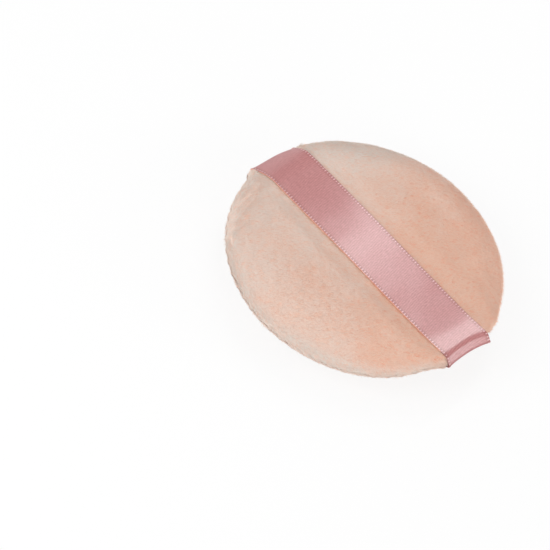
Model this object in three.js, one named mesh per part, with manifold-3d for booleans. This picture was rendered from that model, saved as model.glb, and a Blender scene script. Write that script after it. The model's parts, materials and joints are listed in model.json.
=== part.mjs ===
// A powder puff: two plush discs sewn round a foam pad, with a satin ribbon across the back to hold.
// Millimetres, +Z up. The puff lies on its powdering face, and the ribbon runs along X over the origin.
import * as THREE from "three";
import { mergeVertices } from "three/addons/utils/BufferGeometryUtils.js";
import Module from "manifold-3d";

const wasm = await Module();
wasm.setup();

// Cover
const PUFF_DIAMETER = 80;
const BACK_CROWN = 6; // top of the back above the rim seam
const FACE_DEPTH = 9.5; // powdering face below the rim seam
const FACE_FLAT = 0.5; // depth of the face's crown that lies pressed flat
const PLUSH_THICKNESS = 2; // knitted backing and its pile
const SEAM_ROLL = 1.5; // radius of the plush roll on either side of the seam
const SEAM_ALLOWANCE = 4.5; // cut edge turned inwards
const EDGE_THICKNESS = 0.9; // plush crushed flat in the turned-in edge

// A crown is flat over the middle and turns down at its edge. The larger both numbers, the boxier it is.
const BACK_CURVE = { flatness: 5, fullness: 2.3 };
const FACE_CURVE = { flatness: 4.5, fullness: 1.1 };

// Ribbon
const RIBBON_WIDTH = 16;
const RIBBON_THICKNESS = 0.4;
const RIBBON_TAIL = 4; // length caught between the turned-in edges
const RIBBON_LOOP = 0.8; // extra room in the fold that each end makes round the rim

// What the taut ribbon does to the cover
const CHANNEL_DEPTH = 0.7; // how far it presses the crown down
const CHANNEL_MARGIN = 2; // pressed flat on either side of it
const CHANNEL_SLOPE = 5; // from the pressed part up to the free crown
const RIM_DRAW_IN = 1.4; // how far each end pulls the rim inwards
const DRAW_IN_SPREAD = 9; // to either side of the ribbon's middle
const DRAW_IN_REACH = 16; // from the rim towards the centre

// Sewing
const THREAD_DIAMETER = 0.3;
const STITCH_LENGTH = 4;
const STITCH_INSET = 2; // stitch line inside the bottom of the seam groove
const THREAD_SPACING = 0.56; // needle thread to bobbin thread where they meet in a hole
const NEEDLE_DIP = 0.5; // length of the thread's turn inside a hole
const CLOSING_LENGTH = 36; // stretch of rim left open to put the foam in, then closed by hand
const CLOSING_ANGLE = THREE.MathUtils.degToRad(50); // its middle, from the ribbon's end at +X
const LADDER_LENGTH = 3; // between two rungs of the closing stitch

// Clearances
const GAP = 0.3; // between neighbouring pieces
const THREAD_GAP = 0.2; // between a thread and what it passes

// Fineness of the facets
const TURN_STEPS = 48;
const CROWN_STEPS = 7;
const LINING_STEPS = 4;
const ROLL_STEPS = 3;
const RIBBON_STEPS = 9;
const LOOP_STEPS = 4;
const RIBBON_ROWS = 6;
const THREAD_SIDES = 4;

const RIM = PUFF_DIAMETER / 2;
const GROOVE = RIM - SEAM_ROLL; // radius at the bottom of the seam groove
const EDGE_INSIDE = GROOVE - SEAM_ALLOWANCE;
const EDGE_BOTTOM = GAP / 2;
const EDGE_TOP = EDGE_BOTTOM + EDGE_THICKNESS;
const STITCH_LINE = GROOVE - STITCH_INSET;
const SLOT_HALF = RIBBON_THICKNESS / 2 + GAP;

// Every piece is drawn with the rim seam at z = 0.
const BACK_OUTSIDE = { radius: RIM, base: SEAM_ROLL, top: BACK_CROWN, ...BACK_CURVE };
const FACE_OUTSIDE = { radius: RIM, base: SEAM_ROLL, top: FACE_DEPTH + FACE_FLAT, ...FACE_CURVE };
const BACK_INSIDE = {
  radius: RIM - PLUSH_THICKNESS,
  base: EDGE_TOP,
  top: BACK_CROWN - PLUSH_THICKNESS,
  ...BACK_CURVE,
};
const FACE_INSIDE = {
  radius: RIM - PLUSH_THICKNESS,
  base: EDGE_TOP,
  top: FACE_DEPTH - PLUSH_THICKNESS,
  ...FACE_CURVE,
};

// 1 below the first value, 0 above the second, smooth between them.
function fade(value, first, second) {
  return 1 - THREE.MathUtils.smoothstep(value, first, second);
}

// The taut ribbon presses a channel into the crown and draws the rim in at its ends. Every piece follows.
function settle(point) {
  const sideways = Math.abs(point.y);
  const bell = (1 + Math.cos(Math.PI * Math.min(sideways / DRAW_IN_SPREAD, 1))) / 2;
  const outwards = 1 - fade(Math.abs(point.x), RIM - DRAW_IN_REACH, RIM);
  point.x -= Math.sign(point.x) * RIM_DRAW_IN * bell * outwards;
  const flatUntil = RIBBON_WIDTH / 2 + CHANNEL_MARGIN;
  const pressed = CHANNEL_DEPTH * fade(sideways, flatUntil, flatUntil + CHANNEL_SLOPE);
  point.z -= (pressed * Math.max(point.z - SEAM_ROLL, 0)) / (BACK_CROWN - SEAM_ROLL);
  return point;
}

function settled(geometry) {
  const places = geometry.getAttribute("position");
  const point = new THREE.Vector3();
  for (let i = 0; i < places.count; i++) {
    settle(point.fromBufferAttribute(places, i));
    places.setXYZ(i, point.x, point.y, point.z);
  }
  return geometry;
}

// Height of a crown at a distance from its axis.
function crownHeight(crown, distance) {
  const fall = 1 - (distance / crown.radius) ** crown.flatness;
  return crown.base + (crown.top - crown.base) * Math.max(fall, 0) ** (1 / crown.fullness);
}

// Distance from the axis at which a crown has come down to a height.
function crownRadius(crown, height) {
  const rise = (height - crown.base) / (crown.top - crown.base);
  return crown.radius * (1 - rise ** crown.fullness) ** (1 / crown.flatness);
}

// Distances from the axis out to a crown's edge, closer together where it turns down.
function crownDistances(crown, from, steps) {
  const distances = [];
  for (let i = 1; i <= steps; i++) {
    const turn = (Math.PI / 2) * (i / steps) ** 2;
    const share = Math.sin(turn) ** (2 / crown.flatness);
    distances.push(from + (crown.radius - from) * share);
  }
  return distances;
}

// Points of a crown's outline from just off its axis to its edge.
function crownLine(crown, from, steps) {
  return crownDistances(crown, from, steps).map((r) => new THREE.Vector2(r, crownHeight(crown, r)));
}

// The roll of plush from the side wall into the seam groove.
function rollLine() {
  const points = [];
  for (let i = 1; i <= ROLL_STEPS; i++) {
    const turn = ((Math.PI / 2) * i) / ROLL_STEPS;
    const down = (SEAM_ROLL - EDGE_BOTTOM) * Math.sin(turn);
    points.push(new THREE.Vector2(GROOVE + SEAM_ROLL * Math.cos(turn), SEAM_ROLL - down));
  }
  return points;
}

// A closed profile turned round the Z axis.
function turned(profile) {
  const geometry = new THREE.LatheGeometry([...profile].reverse(), TURN_STEPS);
  return geometry.rotateX(Math.PI / 2);
}

// One plush disc with its edge turned in, crown up. A crown that reaches past flatAt is cut flat there.
function plushDisc(outside, inside, flatAt) {
  const flatRadius = flatAt < outside.top ? crownRadius(outside, flatAt) : 0;
  const flat = flatRadius > 0 ? [new THREE.Vector2(flatRadius, flatAt)] : [];
  return turned([
    new THREE.Vector2(0, Math.min(flatAt, outside.top)),
    ...flat,
    ...crownLine(outside, flatRadius, CROWN_STEPS),
    ...rollLine(),
    new THREE.Vector2(EDGE_INSIDE, EDGE_BOTTOM),
    new THREE.Vector2(EDGE_INSIDE, EDGE_TOP),
    ...crownLine(inside, 0, LINING_STEPS).reverse(),
    new THREE.Vector2(0, inside.top),
  ]);
}

// Half of the foam's outline under one disc, from its axis out to the turned-in edges.
function foamLine(inside) {
  const lining = crownLine(inside, 0, LINING_STEPS).map((p) => new THREE.Vector2(p.x - GAP, p.y - GAP));
  const line = [new THREE.Vector2(0, inside.top - GAP), ...lining];
  const edge = EDGE_INSIDE - GAP;
  const beyond = line.findIndex((p) => p.x > edge);
  const share = (edge - line[beyond - 1].x) / (line[beyond].x - line[beyond - 1].x);
  return [...line.slice(0, beyond), line[beyond - 1].clone().lerp(line[beyond], share)];
}

// The foam pad fills the cover.
function foamPad() {
  const below = foamLine(FACE_INSIDE).map((p) => new THREE.Vector2(p.x, -p.y));
  return turned([...foamLine(BACK_INSIDE), ...below.reverse()]);
}

// Middle line of the ribbon from the centre of the back to the end of the tail at +X, as points (x, z).
function ribbonHalfLine() {
  const rest = GAP + RIBBON_THICKNESS / 2;
  const points = [new THREE.Vector2(0, BACK_CROWN + rest)];
  for (const r of crownDistances(BACK_OUTSIDE, 0, RIBBON_STEPS).slice(0, -1)) {
    const step = 1e-3;
    const fall = crownHeight(BACK_OUTSIDE, r - step) - crownHeight(BACK_OUTSIDE, r + step);
    const outward = new THREE.Vector2(fall, 2 * step).normalize();
    const standOff = rest + RIBBON_LOOP * outward.x ** 2;
    points.push(new THREE.Vector2(r, crownHeight(BACK_OUTSIDE, r)).addScaledVector(outward, standOff));
  }
  for (let i = 0; i <= LOOP_STEPS; i++) {
    const turn = ((Math.PI / 2) * i) / LOOP_STEPS;
    const x = GROOVE + rest + RIBBON_LOOP + SEAM_ROLL * Math.cos(turn);
    points.push(new THREE.Vector2(x, SEAM_ROLL * (1 - Math.sin(turn))));
  }
  points.push(new THREE.Vector2(GROOVE - RIBBON_TAIL, 0));
  return points;
}

// A closed skin over rings of points: each ring joins the next, and both ends are capped.
function skinned(rings) {
  const size = rings[0].length;
  const index = [];
  for (let i = 0; i + 1 < rings.length; i++) {
    for (let j = 0; j < size; j++) {
      const a = i * size + j;
      const b = i * size + ((j + 1) % size);
      index.push(a, b, b + size, a, b + size, a + size);
    }
  }
  const last = (rings.length - 1) * size;
  for (let j = 1; j + 1 < size; j++) {
    index.push(0, j + 1, j, last, last + j, last + j + 1);
  }
  const geometry = new THREE.BufferGeometry().setFromPoints(rings.flat());
  return geometry.setIndex(index);
}

// The ribbon: one band over the back, folded round the rim at both ends with its tails in the seam.
function ribbonBand() {
  const half = ribbonHalfLine();
  const mirrored = half.slice(1).map((p) => new THREE.Vector2(-p.x, p.y));
  const line = [...mirrored.reverse(), ...half];
  const rings = line.map((point, i) => {
    const before = line[Math.max(i - 1, 0)];
    const after = line[Math.min(i + 1, line.length - 1)];
    const along = after.clone().sub(before).normalize();
    const up = new THREE.Vector2(-along.y, along.x).multiplyScalar(RIBBON_THICKNESS / 2);
    const ring = [];
    for (let row = 0; row <= RIBBON_ROWS; row++) {
      const y = RIBBON_WIDTH * (row / RIBBON_ROWS - 0.5);
      ring.push(new THREE.Vector3(point.x - up.x, y, point.y - up.y));
    }
    for (let row = RIBBON_ROWS; row >= 0; row--) {
      const y = RIBBON_WIDTH * (row / RIBBON_ROWS - 0.5);
      ring.push(new THREE.Vector3(point.x + up.x, y, point.y + up.y));
    }
    return ring;
  });
  return skinned(rings);
}

// A point at a radius, angle and height of the round puff, moved to where the ribbon's pull leaves it.
function rimPoint(radius, angle, height) {
  return settle(new THREE.Vector3(radius * Math.cos(angle), radius * Math.sin(angle), height));
}

// A thread of square section through corners given as { angle, height } at one radius.
function thread(radius, corners) {
  const points = corners.map(({ angle, height }) => rimPoint(radius, angle, height));
  const rings = points.map((point, i) => {
    const before = points[Math.max(i - 1, 0)];
    const after = points[Math.min(i + 1, points.length - 1)];
    const inward = point.distanceTo(before) || 1;
    const onward = point.distanceTo(after) || 1;
    const along = point.clone().sub(before).divideScalar(inward);
    along.add(after.clone().sub(point).divideScalar(onward)).normalize();
    const outward = new THREE.Vector3(point.x, point.y, 0).normalize();
    const across = new THREE.Vector3().crossVectors(along, outward).normalize();
    const ring = [];
    for (let side = 0; side < THREAD_SIDES; side++) {
      const turn = (2 * Math.PI * side) / THREAD_SIDES;
      const offset = outward.clone().multiplyScalar(Math.cos(turn));
      offset.addScaledVector(across, Math.sin(turn));
      ring.push(point.clone().addScaledVector(offset, THREAD_DIAMETER / 2));
    }
    return ring;
  });
  return skinned(rings);
}

// Angles of the machine stitches, all round the rim but for the stretch closed by hand.
function stitchAngles() {
  const open = CLOSING_LENGTH / STITCH_LINE;
  const sewn = 2 * Math.PI - open;
  const count = Math.round((sewn * STITCH_LINE) / STITCH_LENGTH);
  const angles = [];
  for (let i = 0; i <= count; i++) {
    angles.push(CLOSING_ANGLE + open / 2 + (sewn * i) / count);
  }
  return angles;
}

// One of the two threads of the lock stitch: it lies along its own edge and turns inside each hole.
function lockThread(side) {
  const radius = STITCH_LINE - (side * THREAD_SPACING) / 2;
  const dip = NEEDLE_DIP / 2 / radius;
  const run = side * (EDGE_TOP + THREAD_GAP + THREAD_DIAMETER / 2);
  const corners = stitchAngles().flatMap((angle) => [
    { angle: angle - dip, height: run },
    { angle: angle - dip, height: 0 },
    { angle: angle + dip, height: 0 },
    { angle: angle + dip, height: run },
  ]);
  return thread(radius, corners.slice(1, -1));
}

// The hand-sewn ladder stitch lies in the mouth of the seam groove, along one roll and then the other.
function ladderThread() {
  const radius = RIM - THREAD_DIAMETER;
  const into = Math.acos((radius - GROOVE) / SEAM_ROLL);
  const mouth = SEAM_ROLL - (SEAM_ROLL - EDGE_BOTTOM) * Math.sin(into);
  const height = mouth - THREAD_DIAMETER / 2 - THREAD_GAP;
  const rungs = Math.round(CLOSING_LENGTH / LADDER_LENGTH);
  const corners = [];
  for (let i = 0; i <= rungs; i++) {
    const angle = CLOSING_ANGLE + (CLOSING_LENGTH / RIM) * (i / rungs - 0.5);
    const side = i % 2 ? 1 : -1;
    corners.push({ angle, height: -side * height }, { angle, height: side * height });
  }
  return thread(radius, corners);
}

// Holes for both threads, through the two turned-in edges and whatever lies between them.
function stitchHoles() {
  const wide = THREAD_SPACING + THREAD_DIAMETER + 2 * THREAD_GAP;
  const long = NEEDLE_DIP + THREAD_DIAMETER + 2 * THREAD_GAP;
  const tall = 2 * (EDGE_TOP + THREAD_GAP);
  return stitchAngles().map((angle) => {
    const place = rimPoint(STITCH_LINE, angle, 0);
    return new THREE.BoxGeometry(wide, long, tall).rotateZ(angle).translate(place.x, place.y, place.z);
  });
}

// Pockets right through the turned-in edges for the ribbon's two tails.
function tailPockets() {
  const inside = EDGE_INSIDE - RIM_DRAW_IN - GAP;
  const length = RIM + GAP - inside;
  const width = RIBBON_WIDTH + 2 * GAP;
  return [1, -1].map((end) =>
    new THREE.BoxGeometry(length, width, 2 * SLOT_HALF).translate(end * (inside + length / 2), 0, 0),
  );
}

function solid(geometry) {
  const bare = new THREE.BufferGeometry();
  bare.setAttribute("position", geometry.getAttribute("position"));
  bare.setIndex(geometry.index);
  const merged = mergeVertices(bare, 1e-4);
  return new wasm.Manifold(
    new wasm.Mesh({
      numProp: 3,
      vertProperties: merged.attributes.position.array,
      triVerts: new Uint32Array(merged.index.array),
    }),
  );
}

function cut(geometry, cutters) {
  const left = cutters.reduce((body, cutter) => body.subtract(solid(cutter)), solid(geometry));
  const mesh = left.getMesh();
  const result = new THREE.BufferGeometry();
  result.setAttribute("position", new THREE.BufferAttribute(mesh.vertProperties, 3));
  return result.setIndex(new THREE.BufferAttribute(mesh.triVerts, 1));
}

const puff = new THREE.Group();
puff.position.z = FACE_DEPTH;

function addPiece(name, geometry, color, roughness) {
  const material = new THREE.MeshStandardMaterial({ color, roughness, metalness: 0 });
  const mesh = new THREE.Mesh(geometry, material);
  mesh.name = name;
  puff.add(mesh);
}

const PLUSH_PEACH = "#e9c6b2";
const FOAM_CREAM = "#f4e9d8";
const SATIN_ROSE = "#d39c9b";
const THREAD_PEACH = "#e2bfae";

const holes = stitchHoles();
const pockets = tailPockets();
const backDisc = settled(plushDisc(BACK_OUTSIDE, BACK_INSIDE, BACK_CROWN));
const faceDisc = settled(plushDisc(FACE_OUTSIDE, FACE_INSIDE, FACE_DEPTH).rotateX(Math.PI));

addPiece("back_panel", cut(backDisc, [...pockets, ...holes]), PLUSH_PEACH, 0.95);
addPiece("face_panel", cut(faceDisc, [...pockets, ...holes]), PLUSH_PEACH, 0.95);
addPiece("foam_core", settled(foamPad()), FOAM_CREAM, 0.9);
addPiece("ribbon", cut(settled(ribbonBand()), holes), SATIN_ROSE, 0.35);
addPiece("needle_thread", lockThread(1), THREAD_PEACH, 0.6);
addPiece("bobbin_thread", lockThread(-1), THREAD_PEACH, 0.6);
addPiece("closing_thread", ladderThread(), THREAD_PEACH, 0.6);

export default puff;
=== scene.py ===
"""A powder puff lying on its powdering face: velour discs sewn round a foam pad, with a satin ribbon.

Lengths are in millimetres with the rim seam at z = 0 until a mesh is made, in metres in the CAD frame.
"""
import json
import math

import bmesh
import bpy
import numpy as np
from mathutils import Matrix, Vector

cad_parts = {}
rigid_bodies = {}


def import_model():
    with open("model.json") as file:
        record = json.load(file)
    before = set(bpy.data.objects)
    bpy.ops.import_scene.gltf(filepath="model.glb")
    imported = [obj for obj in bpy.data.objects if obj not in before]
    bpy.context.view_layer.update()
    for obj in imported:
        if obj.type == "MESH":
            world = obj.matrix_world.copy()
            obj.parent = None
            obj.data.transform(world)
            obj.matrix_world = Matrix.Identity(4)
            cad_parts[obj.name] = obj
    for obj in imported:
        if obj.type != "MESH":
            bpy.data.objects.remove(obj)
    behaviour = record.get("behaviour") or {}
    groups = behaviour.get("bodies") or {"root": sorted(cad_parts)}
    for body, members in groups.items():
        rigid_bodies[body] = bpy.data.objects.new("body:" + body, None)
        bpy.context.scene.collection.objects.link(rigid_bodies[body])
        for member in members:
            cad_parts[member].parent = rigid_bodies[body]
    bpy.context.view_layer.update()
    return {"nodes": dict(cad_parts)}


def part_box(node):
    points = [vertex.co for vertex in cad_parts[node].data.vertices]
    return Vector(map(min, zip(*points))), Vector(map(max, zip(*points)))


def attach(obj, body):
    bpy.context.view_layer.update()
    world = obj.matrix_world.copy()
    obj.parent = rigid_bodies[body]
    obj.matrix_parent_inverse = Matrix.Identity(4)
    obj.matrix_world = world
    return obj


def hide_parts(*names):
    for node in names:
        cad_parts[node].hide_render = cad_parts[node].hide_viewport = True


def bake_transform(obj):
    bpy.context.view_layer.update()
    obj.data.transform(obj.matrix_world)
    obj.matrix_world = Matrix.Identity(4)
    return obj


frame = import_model()

MM = 0.001
BACK_LOW, BACK_HIGH = (np.array(corner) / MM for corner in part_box("back_panel"))

# Cover
EDGE_GAP = 0.15  # from the seam to either turned-in edge
RIM = float(BACK_HIGH[1])
SEAM_HEIGHT = float(BACK_LOW[2]) - EDGE_GAP
BACK_TOP = float(BACK_HIGH[2]) - SEAM_HEIGHT
FACE_DEPTH = SEAM_HEIGHT
FACE_FLAT = 0.5  # depth of the face's crown that lies pressed flat
ROLL = 1.5  # radius of the velour roll on either side of the seam
GROOVE = RIM - ROLL
PILED_ROLL = 0.8  # what is left of that height once the pile fills the groove
FACE_ROLL = 0.35  # the same on the face, which turns under at once
PILED_GROOVE = 0.2  # and how deep the groove then is
PILE_DEPTH = 0.42  # from the tips of the pile to the knitted backing
CRUSHED_DEPTH = 0.3  # the same in the seam groove
BACKING = 0.8  # thickness of the knitted backing
VELOUR = 2.0  # backing and pile together, as the foam meets it
BACK_CROWN = {"radius": RIM, "base": PILED_ROLL, "top": BACK_TOP, "flatness": 6, "fullness": 2.6}
FACE_CROWN = {
    "radius": RIM,
    "base": FACE_ROLL,
    "top": FACE_DEPTH + FACE_FLAT,
    "flatness": 4,
    "fullness": 1,
}

# What the taut ribbon does to the cover
RIBBON_WIDTH = 16.0
CHANNEL_DEPTH = 0.15
CHANNEL_FLAT = RIBBON_WIDTH / 2 + 2
CHANNEL_SLOPE = 5.0
RIM_DRAW_IN = 1.4
DRAW_IN_SPREAD = 9.0
DRAW_IN_REACH = 16.0
RIM_LIFT = {1: 3.2, -1: 0.3}  # how far the ribbon's ends at +X and -X pull the rim up
LIFT_WIDTH = 18.0
RIM_TILT = 1.3  # how far the rim hangs at one side, and stands up at the other
TILT_ANGLE = math.radians(-62)
# Swellings of the rim beside the drawn-in stretches: end in X, side in Y, place in Y, width, height
CORNERS = [
    (1, -1, 7.4, 1.3, 0.8),
    (1, -1, 8.8, 2.2, 0.9),
    (1, 1, 15.0, 4.5, 0.9),
    (-1, -1, 8.6, 1.5, 1.2),
    (-1, 1, 8.8, 2.2, 0.4),
]
FULL_CROWN = {**BACK_CROWN, "flatness": 9, "fullness": 3.2}  # to which the ribbon's ends gather the back
FULLNESS = {1: 0.8, -1: 0.45}  # how far, at the ends at +X and -X
FULL_WIDTH = 15.0
FULL_ABOVE = 2.5  # height over the seam at which the gathering is whole
FLUSH_MARGIN = 0.3  # beyond the ribbon's edges, where the cover still lies against it
FLUSH_WIDTH = 7.0  # over which the cover then leaves those edges
FLUSH_FAR = (-39.5, -36.0)  # places in X where the cover comes to lie against the ribbon
FLUSH_NEAR = (36.5, 39.0)  # and where it leaves it
FLUSH_ABOVE = (1.0, 3.0)  # heights over the seam between which it does so

# Fineness of the meshes
GRID = 96  # cells along each side of a disc's grid
RIM_FINENESS = 0.6  # how much closer the rows lie at the rim than they would if even
OUTLINE_POINTS = 400
RIBBON_ROWS = 150
RIBBON_COLUMNS = 32


def smoothstep(value, low, high):
    share = np.clip((value - low) / (high - low), 0, 1)
    return share * share * (3 - 2 * share)


def linear(code):
    """Linear RGBA of an sRGB hex colour."""
    parts = [int(code[i : i + 2], 16) / 255 for i in (1, 3, 5)]
    return (*(c / 12.92 if c <= 0.04045 else ((c + 0.055) / 1.055) ** 2.4 for c in parts), 1.0)


def add_node(tree, kind, inputs=None, **settings):
    """A new node with its settings, and its inputs by name or number, as values or as outputs to link."""
    node = tree.nodes.new(kind)
    for name, value in settings.items():
        setattr(node, name, value)
    for socket, value in (inputs or {}).items():
        if isinstance(value, bpy.types.NodeSocket):
            tree.links.new(value, node.inputs[socket])
        else:
            node.inputs[socket].default_value = value
    return node


def calculated(tree, operation, *values, **settings):
    """Output of a sum, with its numbers as values or as outputs to link."""
    node = add_node(tree, "ShaderNodeMath", dict(enumerate(values)), operation=operation, **settings)
    return node.outputs[0]


def mixed(tree, share, first, second, **settings):
    """Output of a mix of two colours."""
    inputs = {0: share, 6: first, 7: second}
    return add_node(tree, "ShaderNodeMix", inputs, data_type="RGBA", **settings).outputs[2]


def ranged(tree, value, **limits):
    """Output of a number brought from one range into another, spaces in the limits as underscores."""
    inputs = {name.replace("_", " "): limit for name, limit in limits.items()}
    return add_node(tree, "ShaderNodeMapRange", {"Value": value, **inputs}).outputs[0]


def pattern(tree, kind, size):
    """Output of a texture over an object, by the size of what it repeats."""
    place = add_node(tree, "ShaderNodeTexCoord").outputs["Object"]
    return add_node(tree, kind, {"Vector": place, "Scale": 1 / (size * MM)}).outputs[0]


def embossed(tree, height, depth, strength):
    """Output of a surface direction with small relief."""
    inputs = {"Strength": strength, "Distance": depth * MM, "Height": height}
    return add_node(tree, "ShaderNodeBump", inputs).outputs[0]


def stored(tree, name, kind="FLOAT"):
    """Output of the number or vector that a mesh carries under a name."""
    return add_node(tree, "GeometryNodeInputNamedAttribute", {"Name": name}, data_type=kind).outputs[0]


def chance(tree, low, high, draw):
    """Output of a random number between two limits, by the number of the draw."""
    inputs = {2: low, 3: high, 8: draw}
    return add_node(tree, "FunctionNodeRandomValue", inputs, data_type="FLOAT").outputs[1]


def new_material(name):
    """An empty material and its tree."""
    material = bpy.data.materials.new(name)
    material.use_nodes = True
    material.node_tree.nodes.clear()
    return material, material.node_tree


def colour_ramp(node, stops):
    """Sets a ramp's colours by their places along it, the first at 0 and the last at 1."""
    elements = node.color_ramp.elements
    for place in list(stops)[1:-1]:
        elements.new(place)
    for element, code in zip(elements, stops.values(), strict=True):
        element.color = linear(code)


def finish_material(tree, **inputs):
    """A Principled surface with the inputs given, spaces in their names written as underscores."""
    named = {name.replace("_", " "): value for name, value in inputs.items()}
    surface = add_node(tree, "ShaderNodeBsdfPrincipled", named)
    add_node(tree, "ShaderNodeOutputMaterial", {"Surface": surface.outputs[0]})


# Materials

# Sizes of their patterns
KNIT_LOOP = 0.6
KNIT_RELIEF = 0.1
YARN_MOTTLE = 1.5
THREAD_TWIST = 0.4
FOAM_CELL = 0.5
FOAM_RELIEF = 0.3


def velour_pile():
    """Cut polyester velour: matt fibres, peach at the root as painted shade deep in the pile, paler at the
    tip, and lighter or deeper by painted light and shade.
    """
    material, tree = new_material("velour_pile")
    place = add_node(tree, "ShaderNodeUVMap", uv_map="OFBake")
    split = add_node(tree, "ShaderNodeSeparateXYZ", {0: place.outputs[0]})
    # Darker towards the root: painted shade deep in the pile.
    fibre = add_node(tree, "ShaderNodeValToRGB", {0: split.outputs[1]})
    colour_ramp(fibre, {0.0: "#EBD9CE", 0.5: "#F5EDE7", 1.0: "#FAF6F3"})
    # By paleness: the deepest colour paints the contact shade along the ribbon's front edge, the rest the
    # pile's uneven tone with painted light, sheen and shade.
    paleness_ramp = add_node(tree, "ShaderNodeValToRGB", {0: split.outputs[0]})
    colour_ramp(paleness_ramp, {0.0: "#FFA87E", 0.14: "#FED7C1", 0.4: "#FFE9DD", 1.0: "#F8F3EE"})
    finish_material(
        tree,
        Base_Color=mixed(tree, 1.0, fibre.outputs[0], paleness_ramp.outputs[0], blend_type="MULTIPLY"),
        Roughness=0.85,
        Specular_IOR_Level=0.2,
        Sheen_Weight=0.3,
        Sheen_Roughness=0.45,
        Sheen_Tint=linear("#FFF0E8"),
    )
    return material


def velour_backing():
    """Knitted polyester ground of the velour: matt peach loops, seen only between the fibres."""
    material, tree = new_material("velour_backing")
    loops = pattern(tree, "ShaderNodeTexVoronoi", KNIT_LOOP)
    colour = mixed(tree, loops, linear("#F3D6C6"), linear("#F8E4D9"))
    bump = embossed(tree, loops, KNIT_RELIEF, 0.4)
    finish_material(tree, Base_Color=colour, Roughness=0.9, Normal=bump)
    return material


# Weave of the satin, on its own map in millimetres along the ribbon and across it
PICK_SPACING = 0.63  # about 0.3 on the real ribbon, which would not show
PICK_SLANT = 0.21  # floats bind a little further along in each pick, so their lines run aslant
PICK_DRIFT = 0.6  # how far the picks stray
DRIFTS = 0.6  # strays in a millimetre
GRAINS = (2.4, 0.9, 1.0)  # float ends in a millimetre, along and across
GRAIN_RANGE = (0.22, 0.78)  # part of the noise that is drawn out to full contrast
BREAKS = 1.7  # breaks in a pick in a millimetre
PICK_SHARE = 0.45  # how strong the picks are beside the grain
WEAVE_RELIEF = 0.02
SELVEDGE = (1.3, 0.7)  # from the edge, where the darker plainly woven border starts and is whole: partly its own tone, partly painted shade between the picot loops
EDGE_WALL = 0.02  # from the edge, what counts as the wall of the ribbon's thickness
LYING_LENGTH = 37.0  # from the puff's middle towards +X, over which the ribbon lies on the velour and its edge wall takes painted bounce light


def satin():
    """Woven polyester satin: long floats along the ribbon, so its shine lies in bands across it."""
    material, tree = new_material("satin_ribbon")
    place = add_node(tree, "ShaderNodeUVMap", uv_map="weave").outputs[0]
    split = add_node(tree, "ShaderNodeSeparateXYZ", {0: place})
    along = split.outputs[0]
    across = split.outputs[1]
    drift = add_node(tree, "ShaderNodeTexNoise", {"Vector": place, "Scale": DRIFTS, "Detail": 1.0})
    drifted = calculated(tree, "MULTIPLY_ADD", drift.outputs[0], PICK_DRIFT, along)
    aslant = calculated(tree, "MULTIPLY_ADD", across, PICK_SLANT, drifted)
    picks = calculated(tree, "MULTIPLY", aslant, 2 * math.pi / PICK_SPACING)
    ribs = calculated(tree, "SINE", picks)
    stretched = add_node(tree, "ShaderNodeMapping", {"Vector": place, "Scale": GRAINS}).outputs[0]
    floats = add_node(tree, "ShaderNodeTexNoise", {"Vector": stretched, "Scale": 1.0, "Detail": 3.0})
    grain = ranged(tree, floats.outputs[0], From_Min=GRAIN_RANGE[0], From_Max=GRAIN_RANGE[1])
    gaps = add_node(tree, "ShaderNodeTexNoise", {"Vector": place, "Scale": BREAKS, "Detail": 0.0})
    broken = calculated(tree, "MULTIPLY", ribs, gaps.outputs[0])
    weave = calculated(tree, "MULTIPLY_ADD", broken, PICK_SHARE, grain)
    shade = add_node(tree, "ShaderNodeValToRGB", {0: weave})
    colour_ramp(shade, {0.0: "#A35F5E", 0.5: "#B26D6C", 1.0: "#C17C7A"})
    from_middle = calculated(tree, "ABSOLUTE", across)
    starts, whole = (RIBBON_WIDTH / 2 - inwards for inwards in SELVEDGE)
    selvedge = ranged(tree, from_middle, From_Min=starts, From_Max=whole)
    # The darker border is partly the plain weave's own tone and partly painted shade between the picot
    # loops.
    colour = mixed(tree, selvedge, shade.outputs[0], linear("#9F5855"))
    # Painted bounce light: the velour's warm light is painted onto the narrow wall of the ribbon's edge
    # where it lies on the velour.
    wall = calculated(tree, "GREATER_THAN", from_middle, RIBBON_WIDTH / 2 - EDGE_WALL)
    lying = calculated(tree, "LESS_THAN", along, LYING_LENGTH)
    painted_bounce_light = calculated(tree, "MULTIPLY", wall, lying)
    tangent = add_node(tree, "ShaderNodeTangent", direction_type="UV_MAP", uv_map="weave")
    finish_material(
        tree,
        Base_Color=mixed(tree, painted_bounce_light, colour, linear("#FBB095")),
        Roughness=ranged(tree, weave, To_Min=0.335, To_Max=0.285),
        IOR=1.8,
        Normal=embossed(tree, weave, WEAVE_RELIEF, 0.15),
        Anisotropic=1.0,
        Anisotropic_Rotation=0.25,
        Tangent=tangent.outputs[0],
        Sheen_Weight=0.35,
        Sheen_Roughness=0.35,
        Sheen_Tint=linear("#FFD9DA"),
    )
    return material


def picot_yarn():
    """Bright polyester loops of the ribbon's woven edge, paler than the satin."""
    material, tree = new_material("picot_yarn")
    noise = pattern(tree, "ShaderNodeTexNoise", YARN_MOTTLE)
    finish_material(
        tree,
        Base_Color=mixed(tree, noise, linear("#DAAAAA"), linear("#E9C4C4")),
        Roughness=0.4,
    )
    return material


def sewing_thread():
    """Spun polyester thread in the velour's peach, with a faint sheen."""
    material, tree = new_material("sewing_thread")
    noise = pattern(tree, "ShaderNodeTexNoise", THREAD_TWIST)
    finish_material(
        tree,
        Base_Color=mixed(tree, noise, linear("#D8AE9B"), linear("#EACBBB")),
        Roughness=0.55,
        Sheen_Weight=0.2,
    )
    return material


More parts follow.
